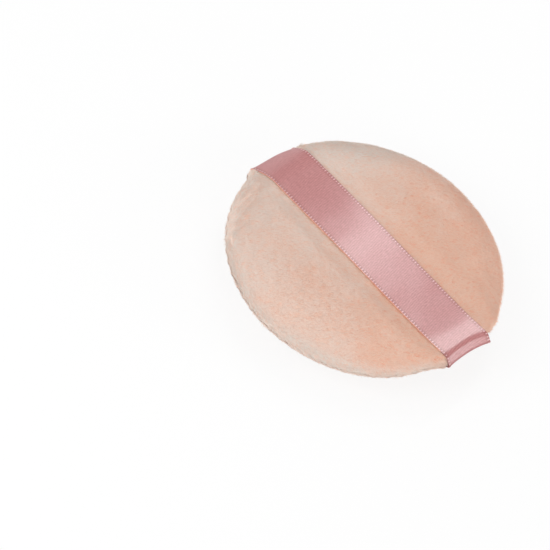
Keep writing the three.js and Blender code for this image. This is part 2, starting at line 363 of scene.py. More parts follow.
def cut_foam():
    """Open-cell polyurethane foam: cream, matt and full of small pores."""
    material, tree = new_material("cut_foam")
    cells = pattern(tree, "ShaderNodeTexVoronoi", FOAM_CELL)
    finish_material(
        tree,
        Base_Color=mixed(tree, cells, linear("#D9C8AC"), linear("#F4E9D8")),
        Roughness=0.95,
        Normal=embossed(tree, cells, FOAM_RELIEF, 0.8),
    )
    return material


# Meshes


def make_piece(name, points, faces, material):
    """A smooth mesh object from points in millimetres about the seam."""
    mesh = bpy.data.meshes.new(name)
    mesh.from_pydata(((points + [0, 0, SEAM_HEIGHT]) * MM).tolist(), [], faces)
    mesh.shade_smooth()
    mesh.materials.append(material)
    piece = bpy.data.objects.new(name, mesh)
    bpy.context.scene.collection.objects.link(piece)
    return piece


def plain_mesh(piece):
    """Applies the modifiers of a piece."""
    evaluated = piece.evaluated_get(bpy.context.evaluated_depsgraph_get())
    mesh = bpy.data.meshes.new_from_object(evaluated)
    piece.modifiers.clear()
    piece.data = mesh
    mesh.name = piece.name


def grown(name, base, tree, values):
    """A new piece that a node tree makes on a base object, with the tree's inputs given by name."""
    modifier = base.modifiers.new(name, "NODES")
    modifier.node_group = tree
    for item in tree.interface.items_tree:
        if item.in_out == "INPUT" and item.name in values:
            modifier[item.identifier] = values[item.name]
    evaluated = base.evaluated_get(bpy.context.evaluated_depsgraph_get())
    mesh = bpy.data.meshes.new_from_object(evaluated)
    mesh.name = name
    base.modifiers.remove(modifier)
    piece = bpy.data.objects.new(name, mesh)
    bpy.context.scene.collection.objects.link(piece)
    return piece


def new_tree(name, **inputs):
    """A geometry tree with a mesh input, inputs named with underscores for spaces, and its input node."""
    tree = bpy.data.node_groups.new(name, "GeometryNodeTree")
    tree.interface.new_socket("Geometry", in_out="OUTPUT", socket_type="NodeSocketGeometry")
    tree.interface.new_socket("Geometry", in_out="INPUT", socket_type="NodeSocketGeometry")
    for each, kind in inputs.items():
        tree.interface.new_socket(each.replace("_", " "), in_out="INPUT", socket_type="NodeSocket" + kind)
    return tree, add_node(tree, "NodeGroupInput")


def grid_faces(rows, columns, flip=False):
    """Quads of a grid whose points run row by row."""
    faces = []
    for i in range(rows):
        for j in range(columns):
            a = i * (columns + 1) + j
            face = [a, a + columns + 1, a + columns + 2, a + 1]
            faces.append(face[::-1] if flip else face)
    return faces


def grid_normals(points, side):
    """Unit normals of a square grid of points."""
    grid = points.reshape(GRID + 1, GRID + 1, 3)
    normals = np.cross(np.gradient(grid, axis=0), np.gradient(grid, axis=1)).reshape(-1, 3)
    return side * normals / np.linalg.norm(normals, axis=1, keepdims=True)


# Cover


def crown_height(crown, radius):
    fall = np.maximum(1 - (radius / crown["radius"]) ** crown["flatness"], 0)
    return crown["base"] + (crown["top"] - crown["base"]) * fall ** (1 / crown["fullness"])


def backing_outline(crown, flat_at):
    """Outline of a disc's backing from its axis to the seam: even radii and heights, and its length."""
    turn = np.linspace(0, np.pi / 2, OUTLINE_POINTS)
    radius = crown["radius"] * np.sin(turn) ** (2 / crown["flatness"])
    height = np.minimum(crown_height(crown, radius), flat_at)
    roll = np.linspace(0, np.pi / 2, OUTLINE_POINTS // 4)[1:]
    radius = np.append(radius, RIM - PILED_GROOVE * (1 - np.cos(roll)))
    height = np.append(height, crown["base"] * (1 - np.sin(roll)))
    line = np.stack([radius, height], axis=1)
    along = np.gradient(line, axis=0)
    along /= np.linalg.norm(along, axis=1, keepdims=True)
    outward = np.stack([-along[:, 1], along[:, 0]], axis=1)
    turned_in = np.append(np.zeros(OUTLINE_POINTS), roll / (np.pi / 2))
    depth = PILE_DEPTH + (CRUSHED_DEPTH - PILE_DEPTH) * turned_in
    line -= outward * depth[:, None]
    line[0, 0] = 0
    steps = np.linalg.norm(np.diff(line, axis=0), axis=1)
    length = np.append(0, np.cumsum(steps))
    even = np.linspace(0, length[-1], OUTLINE_POINTS)
    return np.interp(even, length, line[:, 0]), np.interp(even, length, line[:, 1]), length[-1]


def disc_places():
    """Places of a square grid on a disc, row by row along X: share of the way to its edge, and angle."""
    line = np.linspace(-1, 1, GRID + 1)
    a, b = (each.ravel() for each in np.meshgrid(line, line, indexing="ij"))
    wide = np.abs(a) >= np.abs(b)
    reach = np.where(wide, a, b)
    safe = np.where(reach == 0, 1, reach)
    turn = np.where(wide, np.pi / 4 * b / safe, np.pi / 2 - np.pi / 4 * a / safe)
    return np.abs(reach), np.arctan2(reach * np.sin(turn), reach * np.cos(turn))


def disc_edge():
    """Numbers of the grid points on a disc's edge, anticlockwise."""
    number = np.arange((GRID + 1) ** 2).reshape(GRID + 1, GRID + 1)
    return np.concatenate([number[:-1, 0], number[-1, :-1], number[:0:-1, -1], number[0, :0:-1]])


def pair_faces():
    """Faces of the two discs' grids, and of the band that joins their edges."""
    size = (GRID + 1) ** 2
    edge = disc_edge()
    after = np.roll(edge, -1)
    band = np.stack([size + edge, size + after, after, edge], axis=1).tolist()
    lower = [[size + n for n in face] for face in grid_faces(GRID, GRID, flip=True)]
    return grid_faces(GRID, GRID) + lower + band


def settle(points):
    """Moves points as the taut ribbon does, which presses a channel into the back and draws the rim in."""
    x, y, z = points.T
    bell = (1 + np.cos(np.pi * np.minimum(np.abs(y) / DRAW_IN_SPREAD, 1))) / 2
    outwards = smoothstep(np.abs(x), RIM - DRAW_IN_REACH, RIM)
    pressed = 1 - smoothstep(np.abs(y), CHANNEL_FLAT, CHANNEL_FLAT + CHANNEL_SLOPE)
    drop = CHANNEL_DEPTH / (BACK_TOP - ROLL) * pressed * np.maximum(z - ROLL, 0)
    bulge = np.zeros(len(points))
    for end, side, place, width, height in CORNERS:
        here = (x * end > 0) & (y * side > 0)
        bulge += here * height * np.exp(-(((np.abs(y) - place) / width) ** 2))
    lift = np.where(x > 0, RIM_LIFT[1], RIM_LIFT[-1]) * np.exp(-((y / LIFT_WIDTH) ** 2)) * outwards
    gathered = np.where(x > 0, FULLNESS[1], FULLNESS[-1]) * np.exp(-((y / FULL_WIDTH) ** 2))
    gathered *= smoothstep(np.abs(x), RIM - 2 * DRAW_IN_REACH, RIM) * smoothstep(z, 0, FULL_ABOVE)
    radius = np.hypot(x, y)
    tilt = RIM_TILT * np.cos(np.arctan2(y, x) - TILT_ANGLE) * smoothstep(radius, RIM - DRAW_IN_REACH, RIM)
    rise = gathered * (crown_height(FULL_CROWN, radius) - crown_height(BACK_CROWN, radius))
    inward = np.sign(x) * (RIM_DRAW_IN * bell - bulge) * outwards
    return np.stack([x - inward, y, z - drop + rise + lift - tilt], axis=1)


def ribbon_height(x, y):
    """Height of the ribbon's middle surface where it crosses the back."""
    across = np.minimum(np.abs(y) / (RIBBON_WIDTH / 2), 1) ** RIBBON_ARCH
    stations = RIBBON_COURSE[OVER_BACK]
    lines = [np.interp(x, *np.array([station[i] for station in stations]).T) for i in range(3)]
    return lines[0] + across * (np.where(y < 0, lines[1], lines[2]) - lines[0])


def lie_under_ribbon(points):
    """Brings the back up or down to the ribbon under it and along its edges."""
    x, y, z = points.T
    edge = RIBBON_WIDTH / 2 + FLUSH_MARGIN
    near = 1 - smoothstep(np.abs(y), edge, edge + FLUSH_WIDTH)
    near *= smoothstep(x, *FLUSH_FAR) * (1 - smoothstep(x, *FLUSH_NEAR)) * smoothstep(z, *FLUSH_ABOVE)
    rest = ribbon_height(x, y) - RIBBON_THICKNESS / 2 - CRUSHED_DEPTH
    limit = rest + np.maximum(np.abs(y) - edge, 0)
    return np.stack([x, y, np.minimum(z + near * (rest - z), limit)], axis=1)


def disc_points(crown, flat_at, side):
    """Settled points of one disc's backing, and how far each lies from the seam along the cloth."""
    radius, height, length = backing_outline(crown, flat_at)
    share, angle = disc_places()
    share = share + RIM_FINENESS * share * (1 - share)
    place = share * (OUTLINE_POINTS - 1)
    numbers = np.arange(OUTLINE_POINTS)
    r = np.interp(place, numbers, radius)
    z = side * np.interp(place, numbers, height)
    points = np.stack([r * np.cos(angle), r * np.sin(angle), z], axis=1)
    return settle(points), (1 - share) * length


WAVES = 14  # that add up to one uneven field


def waviness(points, wavelength, seed):
    """A smooth uneven field of about that wavelength, mostly between -1 and 1."""
    rng = np.random.default_rng(seed)
    total = np.zeros(len(points))
    for _ in range(WAVES):
        way = rng.normal(size=3)
        way *= 2 * np.pi / (wavelength * rng.uniform(0.7, 1.5) * np.linalg.norm(way))
        total += np.sin(points @ way + rng.uniform(0, 2 * np.pi))
    return total / math.sqrt(WAVES)


# Folds at the four corners where the ribbon enters the seam: end along X, side along Y, depth
GATHERS = [(-1, -1, 0.12), (1, -1, 0.25), (1, 1, 0.2), (-1, 1, 0.2)]
GATHER_LENGTH = 9.0
GATHER_SPACING = 0.4  # angle between two folds as they fan out
GATHER_START = (0.5, 4.0)  # distances from the corner between which they deepen
GATHER_RISE = (0.05, 0.2)  # angles from the seam between which they do so
GATHER_WAVE = 14.0
GATHER_SEED = 5
# Folds that run out of the seam on one shoulder of the back: their two ends in X and Y
FOLDS = [
    ((-34.3, -13.7), (-32.3, -23.0)),
    ((-32.1, -17.1), (-30.1, -24.7)),
    ((-27.5, -24.3), (-27.5, -29.5)),
]
FOLD_DEPTH = 0.6
FOLD_WIDTH = 1.0
FOLD_START = (0.3, 2.0)  # distances from the seam between which they deepen
STITCH = 4.0
PUCKER = 0.08
PUCKER_REACH = 1.2
DIMPLE = (21.0, 17.0)  # place of a soft dent in the back
DIMPLE_DEPTH = 0.5
DIMPLE_RADIUS = 4.5


def in_folds(points, from_seam):
    """How far points of the back lie in the folds of its shoulder, from 0 to 1."""
    depth = np.zeros(len(points))
    for start, end in np.array(FOLDS):
        way = end - start
        share = np.clip((points[:, :2] - start) @ way / (way @ way), 0, 1)
        aside = np.linalg.norm(points[:, :2] - start - share[:, None] * way, axis=1)
        depth = np.maximum(depth, np.exp(-((aside / FOLD_WIDTH) ** 2)))
    return depth * smoothstep(from_seam, *FOLD_START) * (points[:, 2] > 0)


def sewn_relief(points, from_seam):
    """How far the cloth stands proud or lies deep, by its stitches' pull, a dent, folds and gathers."""
    angle = np.arctan2(points[:, 1], points[:, 0])
    relief = PUCKER * np.cos(angle * RIM * 2 * np.pi / STITCH) * np.exp(-from_seam / PUCKER_REACH)
    aside = np.hypot(points[:, 0] - DIMPLE[0], points[:, 1] - DIMPLE[1])
    relief -= DIMPLE_DEPTH * np.exp(-((aside / DIMPLE_RADIUS) ** 2)) * (points[:, 2] > 0)
    relief -= FOLD_DEPTH * in_folds(points, from_seam)
    for end, side, depth in GATHERS:
        corner = math.atan2(side * RIBBON_WIDTH / 2, end * GROOVE)
        turn = (angle - corner + np.pi) % (2 * np.pi) - np.pi
        away = turn * RIM * end * side
        bearing = np.arctan2(from_seam, np.maximum(away, 0.01))
        fade = smoothstep(away, *GATHER_START) * np.exp(-np.maximum(away, 0) / GATHER_LENGTH)
        uneven = waviness(points, GATHER_WAVE, GATHER_SEED)
        folds = np.cos(2 * np.pi * bearing / GATHER_SPACING + uneven)
        relief -= depth * fade * (0.5 + 0.5 * folds) * smoothstep(bearing, *GATHER_RISE)
    return relief


# Cloth simulation of the cover, which is run at a larger scale than life because it is small
SIM_SCALE = 10
SIM_FRAMES = 14
SIM_PRESSURE = 4.0
SIM_SLACK = 0.002
SIM_CAP = 0.7  # farthest that a point may move
SIM_EVENING = 40  # rounds of evening out


def evened(moves, pinned):
    """Moves of both discs' points once the foam under the velour has taken out its short wrinkles."""
    grids = moves.reshape(-1, GRID + 1, GRID + 1, 3)
    free = ~pinned.reshape(-1, GRID + 1, GRID + 1, 1)
    for _ in range(SIM_EVENING):
        wide = np.pad(grids, ((0, 0), (1, 1), (1, 1), (0, 0)), mode="edge")
        around = wide[:, :-2, 1:-1] + wide[:, 2:, 1:-1] + wide[:, 1:-1, :-2] + wide[:, 1:-1, 2:]
        grids = free * (grids / 2 + around / 8)
    return grids.reshape(-1, 3)


def plumped(points, faces, pinned):
    """Points of the cover after a cloth simulation in which the filling pushes it out from inside."""
    mesh = bpy.data.meshes.new("cover_under_pressure")
    mesh.from_pydata((points * MM * SIM_SCALE).tolist(), [], faces)
    cover = bpy.data.objects.new(mesh.name, mesh)
    scene = bpy.context.scene
    scene.collection.objects.link(cover)
    sewn = cover.vertex_groups.new(name="sewn")
    sewn.add(np.flatnonzero(pinned).tolist(), 1.0, "REPLACE")
    cloth = cover.modifiers.new("filling", "CLOTH")
    cloth.settings.vertex_group_mass = sewn.name
    cloth.settings.quality = 6
    cloth.settings.tension_stiffness = 40
    cloth.settings.compression_stiffness = 40
    cloth.settings.bending_stiffness = 6
    cloth.settings.shrink_min = -SIM_SLACK
    cloth.settings.use_pressure = True
    cloth.settings.uniform_pressure_force = SIM_PRESSURE
    cloth.settings.effector_weights.gravity = 0
    cloth.point_cache.frame_start = 1
    cloth.point_cache.frame_end = SIM_FRAMES
    for number in range(1, SIM_FRAMES + 1):
        scene.frame_set(number)
    result = cover.evaluated_get(bpy.context.evaluated_depsgraph_get()).data
    moved = np.empty(len(points) * 3)
    result.vertices.foreach_get("co", moved)
    moved = moved.reshape(-1, 3) / (MM * SIM_SCALE) - points
    scene.frame_set(1)
    bpy.data.objects.remove(cover)
    bpy.data.meshes.remove(mesh)
    length = np.linalg.norm(moved, axis=1, keepdims=True)
    return points + evened(moved * np.minimum(1, SIM_CAP / np.maximum(length, 1e-6)), pinned)


# How the pile lies
COMB = Vector((0.75, 0.65, 0.0))  # way in which most of it points
COMB_SWIRL = 16.0  # distance over which it changes direction
COMB_STRAY = 0.2
RIM_BAND = 5.0  # width of the band at the rim where it points outwards and takes the painted rim sheen
RIM_COMB = 1.2  # how much it points outwards there, and inwards on the face
RIM_LEAN = 0.25
PRESSED_EDGE = 0.6  # to either side of the ribbon's edge, where the pile rises from under it
RESTING_BAND = 1.5  # height above the floor up to which it is pressed
PRESSED_LOSS = 0.45  # share of its length that it loses where it is pressed
SEAM_PILE = 0.75  # share of its length that it keeps at the seam
SEAM_PILE_REACH = 2.0

# How pale the pile's colour is, from 0, which is deep peach, to 1: its uneven tone, with painted light,
# sheen and shade
PALE_BASE = 0.46
PALE_LEAST = 0.23
PAINTED_SHADE_AND_LIGHT_ACROSS = 0.42  # painted shade at the rim at +X, and as much painted light at -X
PAINTED_SHADE_PAST_RIBBON = 0.2  # painted shade beyond the ribbon
PAST_RIBBON = (0, 16)  # places in Y between which that starts
PAINTED_LIGHT_FRONT = 0.3  # painted light on the shoulder at the front, which faces the key lamp
FRONT = {"-y": (22, 34), "x": (2, 16)}
PALER_FAR = 0.5  # paler beside the ribbon's far end
FAR = {"y": (4, 18), "-x": (15, 27)}
PALE_PATCHES = {7: (14, 0.06), 9: (4, 0.05)}  # unevenness: wavelength and strength, by seed
PAINTED_RIM_SHEEN = 0.7  # painted sheen, paler at the rim
SHADED_WAY = (0.6, 0.8)  # except on this side, where the painted sheen fades
SHADED = (0.2, 0.7)  # shares of the radius between which that starts
SHADED_SHARE = 0.85
PAINTED_CONTACT_SHADE = 0.7  # painted contact shade, a warm orange line along the ribbon's front edge
CONTACT_SHADE_LINE = ((-0.9, -0.5), (0.2, 1.6))  # distances inwards from the edge where it starts and ends
CONTACT_SHADE_ENDS = (29, 33)  # distances from the middle between which it fades

UNEVEN = 0.1
UNEVEN_LENGTH = 17.0
UNEVEN_SEED = 3
UNEVEN_REACH = 8.0  # distance from the seam at which the unevenness is whole
SEWN_BAND = 1.5  # along the seam, which the simulation leaves in place
RESTING = 0.01  # height above the lowest point that still counts as resting
COMB_SEED = 20


def name_values(mesh, name, values):
    """Stores one number or vector for each point of a mesh."""
    kind, key = ("FLOAT_VECTOR", "vector") if values.ndim > 1 else ("FLOAT", "value")
    attribute = mesh.attributes.new(name, kind, "POINT")
    attribute.data.foreach_set(key, values.astype(np.float32).ravel())


def pile_length(points, from_seam):
    """Share of its length that the pile keeps, which is less at the seam and where it is pressed."""
    half = RIBBON_WIDTH / 2
    pressed = 1 - smoothstep(np.abs(points[:, 1]), half - PRESSED_EDGE, half + PRESSED_EDGE)
    pressed *= points[:, 2] > 0
    resting = smoothstep(-points[:, 2], FACE_DEPTH - RESTING_BAND, FACE_DEPTH - PILE_DEPTH)
    crushed = np.maximum(np.maximum(pressed, resting), in_folds(points, from_seam))
    kept = SEAM_PILE + (1 - SEAM_PILE) * smoothstep(from_seam, 0, SEAM_PILE_REACH)
    return kept * (1 - PRESSED_LOSS * crushed)


def colour_paleness(points, raised, seed):
    """How pale the pile's colour is over the puff, with painted light, sheen and shade, and a painted
    contact shade.
    """
    x, y, z = points.T
    front = smoothstep(-y, *FRONT["-y"]) * smoothstep(x, *FRONT["x"])
    far = smoothstep(y, *FAR["y"]) * smoothstep(-x, *FAR["-x"])
    # Painted shade towards +X and beyond the ribbon, painted light towards -X and on the front shoulder.
    pale = PALE_BASE - PAINTED_SHADE_AND_LIGHT_ACROSS * x / RIM - PAINTED_SHADE_PAST_RIBBON * smoothstep(y, *PAST_RIBBON)
    pale = pale + PAINTED_LIGHT_FRONT * front + PALER_FAR * far
    for number, (wavelength, strength) in PALE_PATCHES.items():
        pale = pale + strength * waviness(points, wavelength, seed + number)
    away = points[:, :2] @ SHADED_WAY / RIM
    # Painted sheen at the rim, fading on the side at +X and +Y.
    pale = pale + PAINTED_RIM_SHEEN * raised * (1 - SHADED_SHARE * smoothstep(away, *SHADED))
    # Painted contact shade: a warm orange line in the pile along the ribbon's front edge, as light bounced
    # between ribbon and velour.
    start, end = CONTACT_SHADE_LINE
    from_edge = y + RIBBON_WIDTH / 2
    line = smoothstep(from_edge, *start) * (1 - smoothstep(from_edge, *end)) * (z > 0)
    line = PAINTED_CONTACT_SHADE * line * (1 - smoothstep(np.abs(x), *CONTACT_SHADE_ENDS))
    return np.clip(pale, PALE_LEAST, 1) * (1 - line)


def comb_pile(sheet, points, from_seam, side, seed):
    """Stores on a sheet how the pile on it lies: its direction, its length and its paleness, which holds
    painted light and shade.
    """
    swirl = np.stack([waviness(points, COMB_SWIRL, seed + i) for i in range(3)], axis=1)
    raised = 1 - smoothstep(from_seam, 1, RIM_BAND)
    outward = points * [1, 1, 0] / np.maximum(np.hypot(points[:, 0], points[:, 1]), 1)[:, None]
    comb = np.array(COMB) + COMB_STRAY * swirl + RIM_COMB * side * raised[:, None] * outward
    name_values(sheet.data, "comb", comb)
    name_values(sheet.data, "upright", grid_normals(points, side) - RIM_LEAN * raised[:, None] * comb)
    name_values(sheet.data, "pile_length", pile_length(points, from_seam))
    name_values(sheet.data, "brushed", colour_paleness(points, raised, seed))


def make_cover(materials):
    """The two discs' backings as open sheets, blown up by their filling and drawn in by their sewing."""
    sides = {"back": (BACK_CROWN, BACK_TOP, 1), "face": (FACE_CROWN, FACE_DEPTH, -1)}
    shapes = {name: disc_points(*facts) for name, facts in sides.items()}
    cover = np.concatenate([shapes["back"][0], shapes["face"][0]])
    pressed = (np.abs(cover[:, 1]) < RIBBON_WIDTH / 2) & (cover[:, 2] > 0)
    seam = np.concatenate([shapes["back"][1], shapes["face"][1]]) < SEWN_BAND
    lowest = -(FACE_DEPTH - PILE_DEPTH)
    resting = cover[:, 2] < lowest + RESTING
    cover = plumped(cover, pair_faces(), pressed | seam | resting)
    sheets = {}
    size = (GRID + 1) ** 2
    for start, (name, (_, _, side)) in zip((0, size), sides.items(), strict=True):
        points = cover[start : start + size]
        from_seam = shapes[name][1]
        uneven = waviness(points, UNEVEN_LENGTH, UNEVEN_SEED) * smoothstep(from_seam, 0, UNEVEN_REACH)
        relief = sewn_relief(points, from_seam) + UNEVEN * uneven
        points = points + grid_normals(points, side) * relief[:, None]
        points = lie_under_ribbon(points)
        points[:, 2] = np.maximum(points[:, 2], lowest)
        faces = grid_faces(GRID, GRID, flip=side < 0)
        sheets[name] = make_piece(name + "_velour", points, faces, materials["backing"])
        comb_pile(sheets[name], points, from_seam, side, COMB_SEED + start)
    return sheets


# Pile

PILE_LENGTH = 1.6
FIBRE_WIDTH = 0.1
FIBRES_IN_TUFT = 5
FIBRE_LENGTHS = (0.75, 1.15)  # shortest and longest in a tuft, as shares of the pile's length
FIBRE_WANDER = 0.2  # angle to the tuft's own direction
FIBRE_TWIST = 0.08  # how far a fibre's width is turned out of the cloth
FIBRE_RISE = (15, 21)  # angle in degrees of a fibre's lower half
FIBRE_LIE = (-5, 1)  # and of its upper half
FIBRE_TAPER = 0.85  # share of its width at the knee
TUFT_SPREAD = 0.5  # radius on which a tuft's fibres stand
TUFT_SHAPES = 6
TUFT_SEED = 100
TUFTS = 4.0  # tried on each square millimetre of a layer
TUFT_SPACING = 0.5  # that they must keep
TUFT_UNEVEN = 0.3  # how much shorter some tufts are
PILE_LAYERS = 4
PILE_SEED = 11
ROOTS_SELDOM = 3.0  # higher, and fewer tufts show their roots
ROOTS_DEEPER = 0.8  # how much deeper these are at most
TIPS_PALER = 1.06  # how pale the rest are beside the paleness stored on the cloth
CLOTH_SHADING = 0.88  # share of the cloth's direction in a fibre's shading
MAP_WIDTH = 0.006  # of one fibre on the colour map


def tuft(number):
    """A few bent, tapering fibres that lean along +X from a surface facing +Z."""
    rng = np.random.default_rng(TUFT_SEED + number)
    points, faces, along, across = [], [], [], []
    for _ in range(FIBRES_IN_TUFT):
        out = TUFT_SPREAD * math.sqrt(rng.uniform())
        bearing = rng.uniform(0, 2 * math.pi)
        root = np.array([out * math.cos(bearing), out * math.sin(bearing), 0])
        heading = rng.normal() * FIBRE_WANDER
        forward = np.array([math.cos(heading), math.sin(heading), 0])
        sideways = np.array([-math.sin(heading), math.cos(heading), FIBRE_TWIST * rng.normal()])
        half = PILE_LENGTH / 2 * rng.uniform(*FIBRE_LENGTHS)
        rise, lie = np.radians([rng.uniform(*FIBRE_RISE), rng.uniform(*FIBRE_LIE)])
        knee = root + half * (math.cos(rise) * forward + math.sin(rise) * np.array([0, 0, 1]))
        tip = knee + half * (math.cos(lie) * forward + math.sin(lie) * np.array([0, 0, 1]))
        wide = sideways * FIBRE_WIDTH / 2
        narrow = wide * FIBRE_TAPER
        first = len(points)
        points += [root - wide, root + wide, knee - narrow, knee + narrow, tip]
        faces += [[first + 1, first, first + 2, first + 3], [first + 3, first + 2, first + 4]]
        along += [0, 0, 0.5, 0.5, 1]
        across += [-1, 1, -1, 1, 0]
    mesh = bpy.data.meshes.new(f"tuft_{number}")
    mesh.from_pydata((np.array(points) * MM).tolist(), [], faces)
    mesh.shade_smooth()
    name_values(mesh, "along", np.array(along))
    name_values(mesh, "across", np.array(across))
    return bpy.data.objects.new(mesh.name, mesh)


def pile_tree(material):
    """Tufts scattered over a combed sheet, with a colour map by paleness, which holds painted light and
    shade, and along the fibre.
    """
    tree, given = new_tree(
        "pile",
        Tufts="Collection",
        Density="Float",
        Spacing="Float",
        Seed="Int",
        Uneven_length="Float",
    )
    value = given.outputs
    roots = add_node(
        tree,
        "GeometryNodeDistributePointsOnFaces",
        {
            "Mesh": value["Geometry"],
            "Density Max": value["Density"],
            "Distance Min": value["Spacing"],
            "Seed": value["Seed"],
        },
        distribute_method="POISSON",
    )
    lie = add_node(
        tree,
        "FunctionNodeAxesToRotation",
        {0: stored(tree, "upright", "FLOAT_VECTOR"), 1: stored(tree, "comb", "FLOAT_VECTOR")},
        primary_axis="Z",
        secondary_axis="X",
    )
    least = calculated(tree, "SUBTRACT", 1.0, value["Uneven length"])
    size = calculated(tree, "MULTIPLY", stored(tree, "pile_length"), chance(tree, least, 1.0, 1))
    shape = add_node(tree, "FunctionNodeRandomValue", {4: 0, 5: TUFT_SHAPES - 1, 8: 2}, data_type="INT")
    shapes = add_node(
        tree,
        "GeometryNodeCollectionInfo",
        {"Collection": value["Tufts"], "Separate Children": True, "Reset Children": True},
    )
    facing = add_node(
        tree,
        "GeometryNodeStoreNamedAttribute",
        {"Geometry": roots.outputs["Points"], "Name": "facing", "Value": roots.outputs["Normal"]},
        data_type="FLOAT_VECTOR",
        domain="POINT",
    )
    tufts = add_node(
        tree,
        "GeometryNodeInstanceOnPoints",
        {
            "Points": facing.outputs[0],
            "Instance": shapes.outputs[0],
            "Pick Instance": True,
            "Instance Index": shape.outputs[2],
            "Rotation": lie.outputs[0],
            "Scale": size,
        },
    )
    # A few tufts lie against the rest and show their deeper roots.
    seldom = calculated(tree, "POWER", chance(tree, 0.0, 1.0, 3), ROOTS_SELDOM)
    kept = calculated(tree, "MULTIPLY_ADD", seldom, -ROOTS_DEEPER, TIPS_PALER)
    paleness = calculated(tree, "MULTIPLY", stored(tree, "brushed"), kept)
    marked = add_node(
        tree,
        "GeometryNodeStoreNamedAttribute",
        {"Geometry": tufts.outputs[0], "Name": "paleness", "Value": paleness},
        data_type="FLOAT",
        domain="INSTANCE",
    )
    whole = add_node(tree, "GeometryNodeRealizeInstances", {0: marked.outputs[0]})
    inset = ranged(tree, stored(tree, "paleness"), To_Min=MAP_WIDTH, To_Max=1 - MAP_WIDTH)
    column = calculated(tree, "MULTIPLY_ADD", stored(tree, "across"), MAP_WIDTH / 2, inset)
    place = add_node(tree, "ShaderNodeCombineXYZ", {0: column, 1: stored(tree, "along")})
    mapped = add_node(
        tree,
        "GeometryNodeStoreNamedAttribute",
        {"Geometry": whole.outputs[0], "Name": "OFBake", "Value": place.outputs[0]},
        data_type="FLOAT2",
        domain="CORNER",
    )
    # Fibres as fine as these are shaded together, so each takes most of its direction from the cloth.
    own = add_node(tree, "GeometryNodeInputNormal")
    shared = add_node(
        tree,
        "ShaderNodeMix",
        {0: CLOTH_SHADING, 4: own.outputs[0], 5: stored(tree, "facing", "FLOAT_VECTOR")},
        data_type="VECTOR",
    )
    shaded = add_node(
        tree,
        "GeometryNodeSetMeshNormal",
        {0: mapped.outputs[0], 1: shared.outputs[1]},
        mode="FREE",
        domain="POINT",
    )
    coloured = add_node(
        tree,
        "GeometryNodeSetMaterial",
        {"Geometry": shaded.outputs[0], "Material": material},
    )
    add_node(tree, "NodeGroupOutput", {0: coloured.outputs[0]})
    return tree


def make_pile(sheets, materials):
    """The pile on both discs, in layers that each have their own scatter."""
    shapes = bpy.data.collections.new("tufts")
    for number in range(TUFT_SHAPES):
        shapes.objects.link(tuft(number))
    tree = pile_tree(materials["pile"])
    pieces = []
    for name, sheet in sheets.items():
        for layer in range(PILE_LAYERS):
            values = {
                "Tufts": shapes,
                "Density": TUFTS / MM**2,
                "Spacing": TUFT_SPACING * MM,
                "Seed": PILE_SEED + layer,
                "Uneven length": TUFT_UNEVEN,
            }
            pieces.append(grown(f"{name}_pile_{layer + 1}", sheet, tree, values))
    for each in list(shapes.objects):
        bpy.data.objects.remove(each)
    bpy.data.collections.remove(shapes)
    return pieces


def back_sheets(sheets):
    """Gives the backings their thickness."""
    for sheet in sheets.values():
        wall = sheet.modifiers.new("backing", "SOLIDIFY")
        wall.thickness = BACKING * MM
        wall.offset = -1
        plain_mesh(sheet)


FOAM_GAP = 0.3  # to the velour
FOAM_INSET = 5.0  # from the seam groove to the pad's edge


def make_foam(material):
    """The foam pad that fills the cover."""
    inset = VELOUR + FOAM_GAP - PILE_DEPTH
    upper, _ = disc_points(BACK_CROWN, BACK_TOP, 1)
    lower, _ = disc_points(FACE_CROWN, FACE_DEPTH, -1)
    upper = upper - grid_normals(upper, 1) * inset
    lower = lower - grid_normals(lower, -1) * inset
    points = np.concatenate([upper, lower])
    reach = np.hypot(points[:, 0], points[:, 1])
    limit = GROOVE - FOAM_INSET
    points[:, :2] *= np.minimum(1, limit / np.maximum(reach, 1e-6))[:, None]
    return make_piece("foam_pad", points, pair_faces(), material)


# Ribbon

RIBBON_THICKNESS = 0.25
RIBBON_RIPPLE = 0.006
RIPPLE_LENGTH = 9.0
RIPPLE_SEED = 31
RIPPLE_ABOVE = (2.0, 5.0)  # heights over the seam between which the ripple starts
RIBBON_CREASE = math.radians(50)  # angle past which an edge of its mesh is sharp
LINE_STEPS = 40  # between two stations of its course
